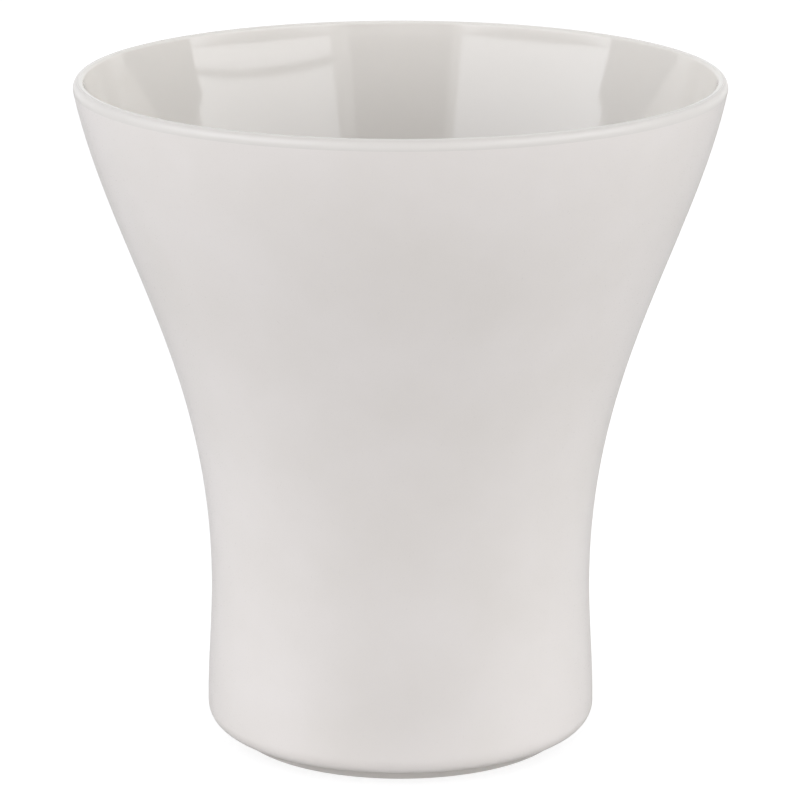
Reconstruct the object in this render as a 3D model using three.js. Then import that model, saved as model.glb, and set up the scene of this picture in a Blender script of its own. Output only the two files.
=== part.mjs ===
// Beaker vase: one waisted porcelain body that flares to a wide rounded lip.
// The outside is bare matt porcelain. The inside and the lip carry a glossy glaze.
// Millimetres, +Z up. The origin lies on the table, under the middle of the foot ring.
import * as THREE from "three";

// Overall outline
const height = 160;
const rimRadius = 76.5; // at the lip's widest point
const rimLean = THREE.MathUtils.degToRad(10.5); // outward lean of the wall just under the lip
const waistRadius = 45.4;
const waistHeight = 38;
const baseRadius = 46.5;
const baseEdgeRadius = 4.7; // rounding between the wall and the underside

// How long the flare keeps the direction of each of its ends, as a share of its own rise
const flareHoldAtWaist = 0.46;
const flareHoldAtLip = 0.325;

// Foot ring and underside
const footHeight = 2.6;
const footInset = 7.1; // from the base's widest point in to the ring's outer face
const footWidth = 3.6;
const footRounding = 0.7;
const undersideRise = 1.2; // the underside vaults up by this much towards its centre

// Porcelain and glaze
const lipThickness = 2.1; // with its glaze
const baseWallThickness = 4; // with its glaze, where the wall meets the base
const floorThickness = 5; // without its glaze
const floorCornerRadius = 14; // inside, between the wall and the floor
const glazeThickness = 0.3;

// Facets
const facetsAround = 60;
const steps = { vault: 3, rounding: 2, baseEdge: 5, outerWall: 18, innerWall: 15, corner: 4 };
const lipStops = [0, 30, 60, 90, 120, 150]; // degrees round the lip, from its outside
const hiddenLipStops = [60, 120]; // the same for the porcelain under the glaze

const floorHeight = footHeight + floorThickness;
const baseTop = footHeight + baseEdgeRadius;

// A point of the outline: radius first, then height
const at = (radius, z) => new THREE.Vector2(radius, z);

// The direction that lies at an angle above the horizontal, seen in the outline
const towards = (angle) => at(Math.cos(angle), Math.sin(angle));

// Outer face of the wall, from the base edge through the upright waist to the lip
function outerWall() {
  const lipRadius = lipThickness / 2;
  const lipCentre = at(rimRadius - lipRadius, height - lipRadius);
  const base = at(baseRadius, baseTop);
  const waist = at(waistRadius, waistHeight);
  const top = lipCentre.clone().addScaledVector(towards(-rimLean), lipRadius);
  const skirtHold = (waistHeight - baseTop) / 3;
  const flareRise = top.y - waistHeight;
  const upTheWall = towards(Math.PI / 2 - rimLean);
  const wall = new THREE.CurvePath();
  wall.add(
    new THREE.CubicBezierCurve(
      base,
      at(baseRadius, baseTop + skirtHold),
      at(waistRadius, waistHeight - skirtHold),
      waist,
    ),
  );
  wall.add(
    new THREE.CubicBezierCurve(
      waist,
      at(waistRadius, waistHeight + flareHoldAtWaist * flareRise),
      top.clone().addScaledVector(upTheWall, -flareHoldAtLip * flareRise),
      top,
    ),
  );
  return wall;
}

const wall = outerWall();
const wallTop = wall.getPoint(1);

// The wall's outward normal at a share of its length
function wallNormal(share) {
  const along = wall.getTangent(share);
  return at(along.y, -along.x);
}

// The wall thins evenly from the base to the lip
function wallThickness(z) {
  const share = (z - baseTop) / (wallTop.y - baseTop);
  return THREE.MathUtils.lerp(baseWallThickness, lipThickness, share);
}

// A point inside the wall, short of its inner face by the glaze that is still to come
function innerPoint(share, missingGlaze) {
  const outer = wall.getPoint(share);
  return outer.clone().addScaledVector(wallNormal(share), missingGlaze - wallThickness(outer.y));
}

// The share of the wall's length at which its inner face reaches a height
function shareAtInnerHeight(z, missingGlaze) {
  let low = 0;
  let high = 1;
  while (high - low > 1e-6) {
    const middle = (low + high) / 2;
    if (innerPoint(middle, missingGlaze).y < z) low = middle;
    else high = middle;
  }
  return low;
}

// Points of an arc about a centre, without its first one
function arc(centre, radius, fromAngle, toAngle, count) {
  return Array.from({ length: count }, (_, i) => {
    const angle = THREE.MathUtils.lerp(fromAngle, toAngle, (i + 1) / count);
    return centre.clone().addScaledVector(towards(angle), radius);
  });
}

// From the axis under the vase, over the foot ring and up the outer wall to the lip
function outsideOutline() {
  const ringOuter = baseRadius - footInset;
  const ringInner = ringOuter - footWidth;
  const vault = new THREE.QuadraticBezierCurve(
    at(0, footHeight + undersideRise),
    at(ringInner / 2, footHeight + undersideRise),
    at(ringInner, footHeight),
  );
  const innerRounding = at(ringInner + footRounding, footRounding);
  const outerRounding = at(ringOuter - footRounding, footRounding);
  const baseEdge = at(baseRadius - baseEdgeRadius, baseTop);
  const wallPoints = Array.from({ length: steps.outerWall }, (_, i) =>
    wall.getPoint((i + 1) / steps.outerWall),
  );
  return [
    ...vault.getPoints(steps.vault),
    at(ringInner, footRounding),
    ...arc(innerRounding, footRounding, -Math.PI, -Math.PI / 2, steps.rounding),
    at(ringOuter - footRounding, 0),
    ...arc(outerRounding, footRounding, -Math.PI / 2, 0, steps.rounding),
    at(ringOuter, footHeight),
    at(baseRadius - baseEdgeRadius, footHeight),
    ...arc(baseEdge, baseEdgeRadius, -Math.PI / 2, 0, steps.baseEdge),
    ...wallPoints,
  ];
}

// From the outside of the lip over it, down the inner face and along the floor to the axis.
// The porcelain's own face lies under the glaze; both faces meet on the outside of the lip.
function insideOutline(missingGlaze, stops) {
  const lipRadius = (lipThickness - missingGlaze) / 2;
  const lipCentre = wallTop.clone().addScaledVector(towards(-rimLean), -lipRadius);
  const floor = floorHeight + glazeThickness - missingGlaze;
  const cornerShare = shareAtInnerHeight(floor + floorCornerRadius, missingGlaze);
  const overLip = stops.map((degrees) =>
    lipCentre.clone().addScaledVector(towards(THREE.MathUtils.degToRad(degrees)), lipRadius),
  );
  const innerWall = Array.from({ length: steps.innerWall + 1 }, (_, i) =>
    innerPoint(THREE.MathUtils.lerp(1, cornerShare, i / steps.innerWall), missingGlaze),
  );
  const cornerStart = innerPoint(cornerShare, missingGlaze);
  const facing = wallNormal(cornerShare);
  const cornerRadius = (cornerStart.y - floor) / (1 + facing.y);
  const cornerCentre = cornerStart.clone().addScaledVector(facing, -cornerRadius);
  return [
    wallTop,
    ...overLip,
    ...innerWall,
    ...arc(cornerCentre, cornerRadius, Math.atan2(facing.y, facing.x), -Math.PI / 2, steps.corner),
    at(0, floor),
  ];
}

// A solid of revolution about Z, from an outline that starts and ends on the axis
function turned(name, outline, material) {
  const geometry = new THREE.LatheGeometry(outline, facetsAround).rotateX(Math.PI / 2);
  const mesh = new THREE.Mesh(geometry, material);
  mesh.name = name;
  return mesh;
}

const underGlaze = insideOutline(glazeThickness, hiddenLipStops);
const glazedFace = insideOutline(0, lipStops);

function porcelainBody() {
  const bisque = new THREE.MeshStandardMaterial({ color: "#e6e3df", roughness: 0.55, metalness: 0 });
  return turned("porcelain_body", [...outsideOutline(), ...underGlaze.slice(1)], bisque);
}

// The glaze runs the other way along the face that it shares with the porcelain, and is mirrored,
// so that the facets of the two split alike and lie flat on each other.
function interiorGlaze() {
  const glaze = new THREE.MeshStandardMaterial({ color: "#dedad2", roughness: 0.08, metalness: 0 });
  const outline = [...underGlaze.toReversed(), ...glazedFace.slice(1)];
  const mesh = turned("interior_glaze", outline, glaze);
  mesh.scale.x = -1;
  return mesh;
}

const vase = new THREE.Group();
vase.add(porcelainBody(), interiorGlaze());

export default vase;
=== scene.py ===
# Beaker vase: bare matt porcelain outside, a glossy glaze inside and over the lip.
# Metres, +Z up. The origin lies on the table, under the middle of the foot ring.
import math

import bmesh
import bpy
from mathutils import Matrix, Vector


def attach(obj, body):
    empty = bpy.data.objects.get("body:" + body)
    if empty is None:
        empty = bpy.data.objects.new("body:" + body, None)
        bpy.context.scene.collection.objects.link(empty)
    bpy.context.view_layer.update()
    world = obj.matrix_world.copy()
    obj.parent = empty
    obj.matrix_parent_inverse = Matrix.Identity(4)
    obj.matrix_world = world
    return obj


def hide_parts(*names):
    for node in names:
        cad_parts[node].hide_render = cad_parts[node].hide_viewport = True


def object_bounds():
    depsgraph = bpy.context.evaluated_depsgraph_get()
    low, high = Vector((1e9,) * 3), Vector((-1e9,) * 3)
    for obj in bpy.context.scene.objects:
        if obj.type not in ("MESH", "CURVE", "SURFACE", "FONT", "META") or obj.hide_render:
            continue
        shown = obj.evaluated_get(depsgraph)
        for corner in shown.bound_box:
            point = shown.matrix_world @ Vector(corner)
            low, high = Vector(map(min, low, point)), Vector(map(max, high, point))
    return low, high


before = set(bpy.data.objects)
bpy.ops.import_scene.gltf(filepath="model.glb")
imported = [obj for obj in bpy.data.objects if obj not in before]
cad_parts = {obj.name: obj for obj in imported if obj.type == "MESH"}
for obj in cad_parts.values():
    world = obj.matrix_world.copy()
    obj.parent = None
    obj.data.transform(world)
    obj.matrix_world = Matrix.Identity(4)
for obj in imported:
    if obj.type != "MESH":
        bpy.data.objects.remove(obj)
cad_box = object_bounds()

# Overall outline
HEIGHT = cad_box[1].z
RIM_RADIUS = cad_box[1].x
RIM_LEAN = math.radians(11.5)  # outward lean of the wall just under the lip
WAIST_RADIUS = 0.0454
WAIST_HEIGHT = 0.038
BASE_RADIUS = 0.0465
BASE_EDGE_RADIUS = 0.0047

# How long the flare keeps the direction of each of its ends, as a share of its own rise
FLARE_HOLD_AT_WAIST = 0.447
FLARE_HOLD_AT_LIP = 0.31

# Foot ring and underside
FOOT_HEIGHT = 0.0026
FOOT_INSET = 0.0071  # from the base's widest point in to the ring's outer face
FOOT_WIDTH = 0.0036
FOOT_ROUNDING = 0.0004
UNDERSIDE_RISE = 0.0012  # the underside vaults up by this much towards its centre

# Porcelain and glaze
LIP_THICKNESS = 0.0027  # with its glaze
LIP_OUTER_ROUNDING = 0.0024
LIP_INNER_ROUNDING = 0.001
BASE_WALL_THICKNESS = 0.004  # with its glaze, where the wall meets the base
FLOOR_THICKNESS = 0.005  # without its glaze
FLOOR_CORNER_RADIUS = 0.014  # inside, between the wall and the floor
GLAZE_THICKNESS = 0.0003

# Facets
FACETS_AROUND = 360
ARC_STEP = math.radians(7.5)
SLIVER = math.radians(0.5)  # no facet of an arc is narrower
SKIRT_STEPS = 30
FLARE_STEPS = 120
FLAT_STEP = 0.004
ON_AXIS = 1e-6  # a point of the outline nearer to the axis than this lies on it
SHARP_ANGLE = math.radians(25)

# Look of the bare porcelain. Colours are written as they are on screen, from 0 to 255.
BISQUE_DARK = (223, 218, 214)
BISQUE_LIGHT = (227, 222, 219)
# painted shade: the foot ring's colour is darkened where the table shades it
BISQUE_FOOT_SHADE = (206, 202, 198)
BISQUE_ROUGHNESS = (0.27, 0.33)
BISQUE_IOR = 1.45
CLOUDS_PER_METRE = 40
CLOUD_DETAIL = 3
GRAINS_PER_METRE = 2600
GRAIN_DETAIL = 3
GRAIN_HARSHNESS = 0.6
GRAIN_DEPTH = 0.00002
GRAIN_STRENGTH = 0.5

# Look of the glaze
GLAZE_LIGHT = (220, 216, 211)
# painted shade deep inside the vase
GLAZE_DEEP_SHADE = (209, 205, 200)
# painted shade on the top of the lip, and painted light on its outside where the glaze meets the bare wall
GLAZE_LIP_SHADE = (204, 200, 196)
GLAZE_FEATHER_LIGHT = (217, 213, 209)
GLAZE_SHADE_DEPTH = 0.035  # painted shade: the wall is darkened down to this far below the top of the lip, where less light reaches
GLAZE_TURNS = 0.0016  # the glaze begins to turn soft and take the lip's painted shade this far in from the rim's widest point
GLAZE_FEATHERS = 0.0008  # and from this far in it is soft, with painted light growing out to the rim's widest point
GLAZE_ROUGHNESS = 0.07
GLAZE_LIP_ROUGHNESS = 0.35
GLAZE_IOR = 1.7
RIPPLES_PER_METRE = 180
RIPPLE_DETAIL = 1
RIPPLE_DEPTH = 0.00002
RIPPLE_STRENGTH = 0.3

NOISE_RANGE = (0.3, 0.7)  # nearly all values of a noise lie in here

# Studio. Bearings are seen from the vase: 0 is the camera's side, and they grow towards +X.
SIDES = {"right": 1, "left": -1}

# A wide soft panel on each side, which the glaze mirrors
PANEL_BEARING = 30
PANEL_DISTANCE = 1.2
PANEL_NEAR_ENDS = {"right": -0.045, "left": -0.12}  # outwards from the point that faces the vase
PANEL_FAR_END = 2.15
PANEL_HEIGHTS = (0.476, 1.4)
PANEL_RADIANCE = 1.2
PANEL_TINTS = {"right": (0.985, 1, 1.045), "left": (0.97, 1, 1.075)}

# A slanting bar that parts the right panel into two panes
BAR_DISTANCE = 1.19
BAR_MIDDLES = (0.593, 0.648)  # heights at the panel's near and far end
BAR_WIDTH = 0.036

# A smaller panel beside the vase on each side, which no reflection shows
SIDE_BEARING = 108
SIDE_DISTANCE = 1.0
SIDE_HALF_WIDTH = 0.36
SIDE_HEIGHTS = (0.48, 1.1)
SIDE_RADIANCE = 1.7
SIDE_TINTS = {"right": (0.95, 1, 1.01), "left": (0.94, 1, 1.06)}

# A narrow beam straight down into the mouth
MOUTH_LAMP_HEIGHT = 0.6
MOUTH_LAMP_ACROSS = 0.08
MOUTH_LAMP_SPREAD = math.radians(6)
MOUTH_LAMP_WATTS = 0.0090478

# Flags, which the camera doesn't see, and cards, which show in reflections alone
CAMERA_FLAG_DISTANCE = 1.25
CAMERA_FLAG_HALF_WIDTH = 0.46
CAMERA_FLAG_HEIGHTS = (0.51, 0.97)
SIDE_FLAG_HEIGHTS = (0, 0.46)
SKIRT_HEIGHTS = (0, 0.47)
FLOOR_CARD_HALF = 1.3
FLOOR_CARD_LIFT = 0.0005
FLAG_GREY = 0.3
CARD_GREY = 0.4
MATT_ROUGHNESS = 0.9

# World: the strength of its light on a surface, by how high the ray points
SKY_LOW = 2.12
SKY_OVERHEAD = 0.05

# Floor. Its colour and glow where it is seen add up to white and leave room for a shadow.
FLOOR_HALF = 3.0
FLOOR_SEEN_GREY = 0.3
FLOOR_SEEN_GLOW = 0.8
FLOOR_WHITE = 0.8  # for the light that it throws back up
FLOOR_DARK = 0.05  # the same, in the dark patch before the vase
PATCH_NEAR = (0.056, 0.064)  # the patch begins between these distances before the axis
PATCH_FAR = (0.6, 0.5)  # and ends between these
PATCH_SLOPES = (0.3, 0.45)  # its side edge fades between these, sideways for each metre ahead

# Camera, fitted to the photo
CAMERA_DISTANCE = 1.0323
CAMERA_HEIGHT = 0.3526
CAMERA_PITCH = math.radians(14.71)
FOCAL_PIXELS = 4478
IMAGE_PIXELS = 800
SHIFT_PIXELS = -0.5
SENSOR = 36  # millimetres

FLOOR_HEIGHT = FOOT_HEIGHT + FLOOR_THICKNESS
BASE_TOP = FOOT_HEIGHT + BASE_EDGE_RADIUS


def towards(angle):
    """The direction that lies at an angle above the horizontal, seen in the outline."""
    return Vector((math.cos(angle), math.sin(angle)))


def straight(start, end):
    """Points of a straight stretch after its start."""
    count = max(1, round((end - start).length / FLAT_STEP))
    return [start.lerp(end, (i + 1) / count) for i in range(count)]


def arc(centre, radius, start, end):
    """Points of an arc after its start. It stops at its end and at each whole multiple of the arc step."""
    turn = 1 if end > start else -1
    count = math.floor(abs(end - start) / ARC_STEP) + 2
    first = turn * math.floor(turn * start / ARC_STEP)
    stops = [(first + turn * i) * ARC_STEP for i in range(count + 1)]
    inside = [stop for stop in stops if SLIVER < turn * (stop - start) and SLIVER < turn * (end - stop)]
    return [centre + radius * towards(stop) for stop in [*inside, end]]


def bezier(points, share):
    """The point of a cubic Bezier curve at a share of its length, and its direction there."""
    a, b, c, d = points
    rest = 1 - share
    place = rest**3 * a + 3 * rest**2 * share * b + 3 * rest * share**2 * c + share**3 * d
    along = rest**2 * (b - a) + 2 * rest * share * (c - b) + share**2 * (d - c)
    return place, along.normalized()


# The lip is rounded in two arcs, a wide one outside and a tight one inside, that meet at this angle.
ROUNDING_SPARE = LIP_OUTER_ROUNDING + LIP_INNER_ROUNDING - LIP_THICKNESS
ROUNDING_STEP = LIP_OUTER_ROUNDING - LIP_INNER_ROUNDING
LIP_MEETING = math.acos(ROUNDING_SPARE / ROUNDING_STEP) - RIM_LEAN
OUTER_LIP_CENTRE = Vector((RIM_RADIUS - LIP_OUTER_ROUNDING,
                           HEIGHT - LIP_INNER_ROUNDING - ROUNDING_STEP * math.sin(LIP_MEETING)))
WALL_TOP = OUTER_LIP_CENTRE + LIP_OUTER_ROUNDING * towards(-RIM_LEAN)


def outer_wall():
    """Points and directions of the outer face, from the base edge through the waist to the lip."""
    base = Vector((BASE_RADIUS, BASE_TOP))
    waist = Vector((WAIST_RADIUS, WAIST_HEIGHT))
    skirt_hold = Vector((0, (WAIST_HEIGHT - BASE_TOP) / 3))
    rise = WALL_TOP.y - WAIST_HEIGHT
    waist_hold = Vector((0, FLARE_HOLD_AT_WAIST * rise))
    lip_hold = FLARE_HOLD_AT_LIP * rise * towards(math.pi / 2 - RIM_LEAN)
    skirt = [base, base + skirt_hold, waist - skirt_hold, waist]
    flare = [waist, waist + waist_hold, WALL_TOP - lip_hold, WALL_TOP]
    low = [bezier(skirt, i / SKIRT_STEPS) for i in range(SKIRT_STEPS)]
    high = [bezier(flare, i / FLARE_STEPS) for i in range(FLARE_STEPS + 1)]
    return low + high


def wall_thickness(z):
    """The wall thins evenly from the base to the lip."""
    share = (z - BASE_TOP) / (WALL_TOP.y - BASE_TOP)
    return BASE_WALL_THICKNESS + share * (LIP_THICKNESS - BASE_WALL_THICKNESS)


def outside_outline():
    """From the axis under the vase, over the foot ring and up the outer wall to the lip."""
    ring_outer = BASE_RADIUS - FOOT_INSET
    ring_inner = ring_outer - FOOT_WIDTH
    inner_rounding = Vector((ring_inner + FOOT_ROUNDING, FOOT_ROUNDING))
    outer_rounding = Vector((ring_outer - FOOT_ROUNDING, FOOT_ROUNDING))
    base_edge = Vector((BASE_RADIUS - BASE_EDGE_RADIUS, BASE_TOP))
    vault_steps = round(ring_inner / FLAT_STEP)
    vault = []
    for i in range(vault_steps + 1):
        share = i / vault_steps
        vault.append(Vector((share * ring_inner, FOOT_HEIGHT + UNDERSIDE_RISE * (1 - share**2))))
    return [
        *vault,
        *straight(vault[-1], Vector((ring_inner, FOOT_ROUNDING))),
        *arc(inner_rounding, FOOT_ROUNDING, -math.pi, -math.pi / 2),
        *straight(Vector((inner_rounding.x, 0)), Vector((outer_rounding.x, 0))),
        *arc(outer_rounding, FOOT_ROUNDING, -math.pi / 2, 0),
        *straight(Vector((ring_outer, FOOT_ROUNDING)), Vector((ring_outer, FOOT_HEIGHT))),
        *straight(Vector((ring_outer, FOOT_HEIGHT)), Vector((base_edge.x, FOOT_HEIGHT))),
        *arc(base_edge, BASE_EDGE_RADIUS, -math.pi / 2, 0),
        *[place for place, along in outer_wall()[1:]],
    ]


def over_lip(missing_glaze):
    """Points over the lip after the top of the outer wall. They are few under the glaze, where none shows."""
    outer = LIP_OUTER_ROUNDING - missing_glaze / 2
    inner = LIP_INNER_ROUNDING - missing_glaze / 2
    outer_centre = WALL_TOP - outer * towards(-RIM_LEAN)
    inner_centre = outer_centre + ROUNDING_STEP * towards(LIP_MEETING)
    last = math.pi - RIM_LEAN
    if missing_glaze:
        return [inner_centre + inner * towards(stop) for stop in (LIP_MEETING, math.pi / 2, last)]
    return [*arc(outer_centre, outer, -RIM_LEAN, LIP_MEETING), *arc(inner_centre, inner, LIP_MEETING, last)]


def inside_outline(missing_glaze):
    """From the lip's outside over it, down the inner face and along the floor to the axis."""
    floor = FLOOR_HEIGHT + GLAZE_THICKNESS - missing_glaze
    wall = []
    for place, along in reversed(outer_wall()):
        outwards = Vector((along.y, -along.x))
        wall.append(place - (wall_thickness(place.y) - missing_glaze) * outwards)
        if wall[-1].y < floor + FLOOR_CORNER_RADIUS:
            break
    corner_radius = (wall[-1].y - floor) / (1 + outwards.y)
    corner_centre = wall[-1] - corner_radius * outwards
    corner_start = math.atan2(outwards.y, outwards.x)
    return [
        WALL_TOP.copy(),
        *over_lip(missing_glaze),
        *wall[1:],
        *arc(corner_centre, corner_radius, corner_start, -math.pi / 2),
        *straight(Vector((corner_centre.x, floor)), Vector((0, floor))),
    ]


def placed_object(name, data):
    """A new object in the scene, for a mesh, a lamp or a camera."""
    placed = bpy.data.objects.new(name, data)
    bpy.context.scene.collection.objects.link(placed)
    return placed


def turned(name, outline):
    """A closed piece of revolution about Z, from an outline that starts and ends on the axis or closes."""
    mesh = bmesh.new()
    rings = []
    for place in outline:
        if place.x < ON_AXIS:
            rings.append([mesh.verts.new((0, 0, place.y))])
            continue
        ring = []
        for i in range(FACETS_AROUND):
            angle = 2 * math.pi * i / FACETS_AROUND
            ring.append(mesh.verts.new((place.x * math.cos(angle), place.x * math.sin(angle), place.y)))
        rings.append(ring)
    for low, high in zip(rings, rings[1:]):
        for i in range(FACETS_AROUND):
            j = (i + 1) % FACETS_AROUND
            corners = [low[i % len(low)], low[j % len(low)], high[j % len(high)], high[i % len(high)]]
            mesh.faces.new(list(dict.fromkeys(corners)))
    data = bpy.data.meshes.new(name)
    bmesh.ops.recalc_face_normals(mesh, faces=mesh.faces)
    mesh.to_mesh(data)
    mesh.free()
    data.shade_smooth()
    data.set_sharp_from_angle(angle=SHARP_ANGLE)
    return placed_object(name, data)


def linear(rgb):
    """A colour as it is written on screen, 0 to 255, turned to the linear values that shaders take."""
    return tuple((c / 255 / 12.92) if c <= 10 else ((c / 255 + 0.055) / 1.055) ** 2.4 for c in rgb)


def grey(value):
    """A grey, in the linear values that shaders take."""
    return (value, value, value)


class Nodes:
    """Short calls for the nodes of a material or of the world."""

    def __init__(self, owner, shader="Principled BSDF"):
        owner.use_nodes = True
        self.owner = owner
        self.tree = owner.node_tree
        self.shader = self.tree.nodes[shader]

    def add(self, kind, **settings):
        """A new node."""
        node = self.tree.nodes.new(kind)
        for key, value in settings.items():
            setattr(node, key, value)
        return node

    def put(self, value, target):
        """Gives an input a number, a colour of three numbers, or the output of a node."""
        if isinstance(value, bpy.types.NodeSocket):
            self.tree.links.new(value, target)
        elif isinstance(value, tuple):
            target.default_value = (*value, 1)
        else:
            target.default_value = value

    def set(self, socket, value):
        """Gives an input of the shader its value."""
        self.put(value, self.shader.inputs[socket])

    def noise(self, per_metre, detail, harshness=0.5):
        """Noise over the piece's own place, with so many features in a metre."""
        node = self.add("ShaderNodeTexNoise")
        self.put(per_metre, node.inputs["Scale"])
        self.put(detail, node.inputs["Detail"])
        self.put(harshness, node.inputs["Roughness"])
        self.put(self.add("ShaderNodeTexCoord").outputs["Object"], node.inputs["Vector"])
        return node.outputs["Fac"]

    def spread(self, value, low, high, from_low, from_high):
        """A value taken from one range to another, and held at its ends."""
        node = self.add("ShaderNodeMapRange")
        self.put(value, node.inputs["Value"])
        self.put(from_low, node.inputs["From Min"])
        self.put(from_high, node.inputs["From Max"])
        self.put(low, node.inputs["To Min"])
        self.put(high, node.inputs["To Max"])
        return node.outputs["Result"]

    def blend(self, share, low, high):
        """A colour between two, by a share from 0 to 1."""
        node = self.add("ShaderNodeMix", data_type="RGBA")
        colour_a, colour_b = [socket for socket in node.inputs if socket.type == "RGBA"]
        self.put(share, node.inputs["Factor"])
        self.put(low, colour_a)
        self.put(high, colour_b)
        return [socket for socket in node.outputs if socket.type == "RGBA"][0]

    def maths(self, operation, *values):
        """The result of an operation on one or two numbers."""
        node = self.add("ShaderNodeMath", operation=operation)
        for value, target in zip(values, node.inputs):
            self.put(value, target)
        return node.outputs["Value"]

    def coordinates(self, kind="Object"):
        """X, Y and Z on the piece, in metres. In the world, the kind Generated gives the ray's direction."""
        parts = self.add("ShaderNodeSeparateXYZ")
        self.put(self.add("ShaderNodeTexCoord").outputs[kind], parts.inputs["Vector"])
        return [parts.outputs[axis] for axis in "XYZ"]

    def height(self):
        """The height above the table, in metres."""
        return self.coordinates()[2]

    def radius(self):
        """The distance from the axis, in metres."""
        x, y, z = self.coordinates()
        flat = self.add("ShaderNodeCombineXYZ")
        self.put(x, flat.inputs["X"])
        self.put(y, flat.inputs["Y"])
        length = self.add("ShaderNodeVectorMath", operation="LENGTH")
        self.put(flat.outputs["Vector"], length.inputs[0])
        return length.outputs["Value"]

    def bump(self, height, depth, strength):
        """The normal of a bumpy surface, with bumps of a real depth in metres."""
        node = self.add("ShaderNodeBump")
        self.put(depth, node.inputs["Distance"])
        self.put(strength, node.inputs["Strength"])
        self.put(height, node.inputs["Height"])
        return node.outputs["Normal"]

    def seen(self):
        """1 for rays from the camera, in a reflection or through glass, and 0 for light on a surface."""
        path = self.add("ShaderNodeLightPath").outputs
        bounced = self.maths("MAXIMUM", path["Is Glossy Ray"], path["Is Transmission Ray"])
        return self.maths("MAXIMUM", path["Is Camera Ray"], bounced)


def new_material(name):
    """The nodes of a new material, which is their owner."""
    return Nodes(bpy.data.materials.new(name))


def bisque_material():
    """Fine matt porcelain with faint clouds, and painted shade on the foot ring, which the table shades."""
    made = new_material("matt_porcelain")
    clouds = made.spread(made.noise(CLOUDS_PER_METRE, CLOUD_DETAIL), 0, 1, *NOISE_RANGE)
    grain = made.noise(GRAINS_PER_METRE, GRAIN_DETAIL, GRAIN_HARSHNESS)
    face = made.blend(clouds, linear(BISQUE_DARK), linear(BISQUE_LIGHT))
    # painted shade on the foot ring: full below half its height, fading out at its top
    foot = made.spread(made.height(), 1, 0, FOOT_HEIGHT / 2, FOOT_HEIGHT)
    made.set("Base Color", made.blend(foot, face, linear(BISQUE_FOOT_SHADE)))
    made.set("Roughness", made.spread(grain, *BISQUE_ROUGHNESS, *NOISE_RANGE))
    made.set("Normal", made.bump(grain, GRAIN_DEPTH, GRAIN_STRENGTH))
    made.set("IOR", BISQUE_IOR)
    return made.owner


def glaze_material():
    """The glaze is soft over the outside of the lip, with painted shade on the lip and painted light at its
    outer edge, and painted shade that grows down the wall.
    """
    made = new_material("glossy_glaze")
    radius = made.radius()
    # painted shade that grows down the inner wall, where less light reaches
    depth = made.spread(made.height(), 1, 0, HEIGHT - GLAZE_SHADE_DEPTH, HEIGHT)
    outside = made.spread(radius, 0, 1, RIM_RADIUS - GLAZE_TURNS, RIM_RADIUS - GLAZE_FEATHERS)
    feather = made.spread(radius, 0, 1, RIM_RADIUS - GLAZE_FEATHERS, RIM_RADIUS)
    wall = made.blend(depth, linear(GLAZE_LIGHT), linear(GLAZE_DEEP_SHADE))
    # painted shade on top of the lip, turning to painted light on its outside towards the bare wall
    lip = made.blend(feather, linear(GLAZE_LIP_SHADE), linear(GLAZE_FEATHER_LIGHT))
    ripple = made.noise(RIPPLES_PER_METRE, RIPPLE_DETAIL)
    made.set("Base Color", made.blend(outside, wall, lip))
    made.set("Roughness", made.spread(outside, GLAZE_ROUGHNESS, GLAZE_LIP_ROUGHNESS, 0, 1))
    made.set("Normal", made.bump(ripple, RIPPLE_DEPTH, RIPPLE_STRENGTH))
    made.set("IOR", GLAZE_IOR)
    return made.owner


def porcelain_body():
    """The fired body: foot ring, floor, wall and the lip under the glaze."""
    body = turned("bisque_body", [*outside_outline(), *inside_outline(GLAZE_THICKNESS)[1:]])
    body.data.materials.append(bisque_material())
    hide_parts("porcelain_body")
    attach(body, "root")
    return body


def interior_glaze():
    """The glaze from the outside of the lip over it, down the wall and along the floor."""
    under = inside_outline(GLAZE_THICKNESS)
    glaze = turned("glossy_glaze", [*reversed(under), *inside_outline(0)[1:]])
    glaze.data.materials.append(glaze_material())
    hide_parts("interior_glaze")
    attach(glaze, "root")
    return glaze


def directions(bearing):
    """Outwards from the vase at a bearing, and sideways from there towards greater bearings."""
    angle = math.radians(bearing)
    return Vector((math.sin(angle), -math.cos(angle), 0)), Vector((math.cos(angle), math.sin(angle), 0))


def lamp(name, shape, width, height, watts, tint):
    """A soft lamp, which faces down until it is turned."""
    data = bpy.data.lights.new(name, "AREA")
    data.shape = shape
    data.size = width
    data.size_y = height
    data.energy = watts
    data.color = tint
    return placed_object(name, data)


def upright_panel(name, bearing, distance, sideways, heights, radiance, tint):
    """A panel that faces the vase, between two places sideways and two heights."""
    out, along = directions(bearing)
    width = sideways[1] - sideways[0]
    height = heights[1] - heights[0]
    placed = lamp(name, "RECTANGLE", width, height, radiance * math.pi * width * height, tint)
    placed.location = distance * out + sum(sideways) / 2 * along
    placed.location.z = sum(heights) / 2
    placed.rotation_euler = (-out).to_track_quat("-Z", "Y").to_euler()
    return placed


def light_the_vase():
    """The panels before the vase and beside it."""
    for name, side in SIDES.items():
        sideways = sorted((side * PANEL_NEAR_ENDS[name], side * PANEL_FAR_END))
        upright_panel(name + "_panel", side * PANEL_BEARING, PANEL_DISTANCE, sideways,
                      PANEL_HEIGHTS, PANEL_RADIANCE, PANEL_TINTS[name])
        across = (-SIDE_HALF_WIDTH, SIDE_HALF_WIDTH)
        placed = upright_panel(name + "_side", side * SIDE_BEARING, SIDE_DISTANCE, across,
                               SIDE_HEIGHTS, SIDE_RADIANCE, SIDE_TINTS[name])
        placed.visible_glossy = False


def light_the_floor_inside():
    """The beam that falls inside the lip and that no reflection shows."""
    across = MOUTH_LAMP_ACROSS
    beam = lamp("mouth_lamp", "DISK", across, across, MOUTH_LAMP_WATTS, grey(1))
    beam.data.spread = MOUTH_LAMP_SPREAD
    beam.location.z = MOUTH_LAMP_HEIGHT
    beam.visible_glossy = False


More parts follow.
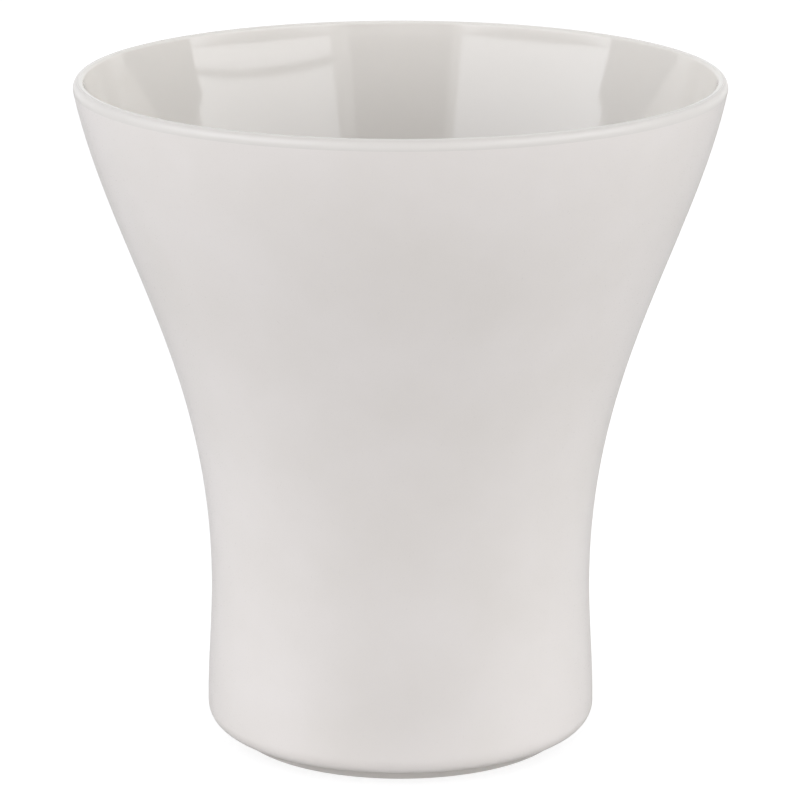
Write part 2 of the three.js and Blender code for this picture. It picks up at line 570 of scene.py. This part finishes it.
def white_world():
    """White where it is seen, and an even soft light on the vase, weaker from above."""
    world = bpy.data.worlds.new("studio")
    bpy.context.scene.world = world
    made = Nodes(world, "Background")
    upwards = made.coordinates("Generated")[2]
    sky = made.spread(upwards, SKY_LOW, SKY_OVERHEAD, 0, 1)
    made.set("Color", grey(1))
    made.set("Strength", made.spread(made.seen(), sky, 1, 0, 1))


def dark_patch(made):
    """1 on a wedge of the floor before the vase that throws little light up, and 0 elsewhere."""
    x, y, z = made.coordinates()
    ahead = made.maths("MULTIPLY", y, -1)
    slope = made.maths("DIVIDE", made.maths("ABSOLUTE", x), ahead)
    share = made.spread(slope, 1, 0, *PATCH_SLOPES)
    for ends in (PATCH_NEAR, PATCH_FAR):
        share = made.maths("MULTIPLY", share, made.spread(ahead, 0, 1, *ends))
    return share


def sheet(name, corners, made):
    """A flat sheet of the studio, between four corners."""
    data = bpy.data.meshes.new(name)
    data.from_pydata(corners, [], [(0, 1, 2, 3)])
    made.set("Roughness", MATT_ROUGHNESS)
    made.set("Specular IOR Level", 0)
    data.materials.append(made.owner)
    return placed_object(name, data)


def level_square(half, z):
    """The corners of a level square about the axis."""
    return [(-half, -half, z), (half, -half, z), (half, half, z), (-half, half, z)]


def white_floor():
    """A pale floor that looks white and still takes the vase's shadow."""
    made = new_material("floor_white")
    unseen = made.blend(dark_patch(made), grey(FLOOR_WHITE), grey(FLOOR_DARK))
    seen = made.seen()
    made.set("Base Color", made.blend(seen, unseen, grey(FLOOR_SEEN_GREY)))
    made.set("Emission Color", grey(1))
    made.set("Emission Strength", made.spread(seen, 0, FLOOR_SEEN_GLOW, 0, 1))
    floor = sheet("floor", level_square(FLOOR_HALF, 0), made)
    return floor


def flag(name, corners, shade=FLAG_GREY):
    """A dark sheet that the camera doesn't see."""
    made = new_material(name + "_grey")
    made.set("Base Color", grey(shade))
    placed = sheet(name, corners, made)
    placed.visible_camera = False
    return placed


def card(name, corners):
    """A grey sheet that shows in reflections alone and takes no light from the vase."""
    placed = flag(name, corners, CARD_GREY)
    placed.visible_diffuse = False
    placed.visible_shadow = False
    return placed


def upright(bearing, distance, sideways, heights):
    """The corners of a rectangle that faces the vase, between two places sideways and two heights."""
    out, along = directions(bearing)
    near, far = (distance * out + place * along for place in sideways)
    low, high = (Vector((0, 0, z)) for z in heights)
    return [near + low, far + low, far + high, near + high]


def slanting_bar():
    """The corners of the bar before the right panel."""
    corners = upright(PANEL_BEARING, BAR_DISTANCE, (PANEL_NEAR_ENDS["right"], PANEL_FAR_END), (0, 0))
    near, far = BAR_MIDDLES
    for corner, middle, edge in zip(corners, (near, far, far, near), (-1, -1, 1, 1)):
        corner.z = middle + edge * BAR_WIDTH / 2
    return corners


def flags_and_cards():
    """Flags behind the camera and below the side panels, the bar, and the cards of the floor and the skirts.

    The camera's flag stands for the dark side of the room, which shades the middle of the vase.
    """
    across = (-CAMERA_FLAG_HALF_WIDTH, CAMERA_FLAG_HALF_WIDTH)
    flag("camera_flag", upright(0, CAMERA_FLAG_DISTANCE, across, CAMERA_FLAG_HEIGHTS))
    card("floor_card", level_square(FLOOR_CARD_HALF, FLOOR_CARD_LIFT))
    flag("bar", slanting_bar())
    for name, side in SIDES.items():
        across = (-SIDE_HALF_WIDTH, SIDE_HALF_WIDTH)
        flag(name + "_flag", upright(side * SIDE_BEARING, SIDE_DISTANCE, across, SIDE_FLAG_HEIGHTS))
        along = (side * PANEL_NEAR_ENDS[name], side * PANEL_FAR_END)
        card(name + "_skirt", upright(side * PANEL_BEARING, PANEL_DISTANCE, along, SKIRT_HEIGHTS))


def camera():
    """The photo's own view, level from side to side and tilted down."""
    data = bpy.data.cameras.new("camera")
    data.sensor_width = SENSOR
    data.lens = SENSOR * FOCAL_PIXELS / IMAGE_PIXELS
    data.shift_x = SHIFT_PIXELS / IMAGE_PIXELS
    placed = placed_object("camera", data)
    placed.location = (0, -CAMERA_DISTANCE, CAMERA_HEIGHT)
    placed.rotation_euler = (math.pi / 2 - CAMERA_PITCH, 0, 0)
    bpy.context.scene.camera = placed


bpy.context.scene.view_settings.view_transform = "Standard"
camera()
white_world()
white_floor()
flags_and_cards()
light_the_vase()
light_the_floor_inside()
porcelain_body()
interior_glaze()
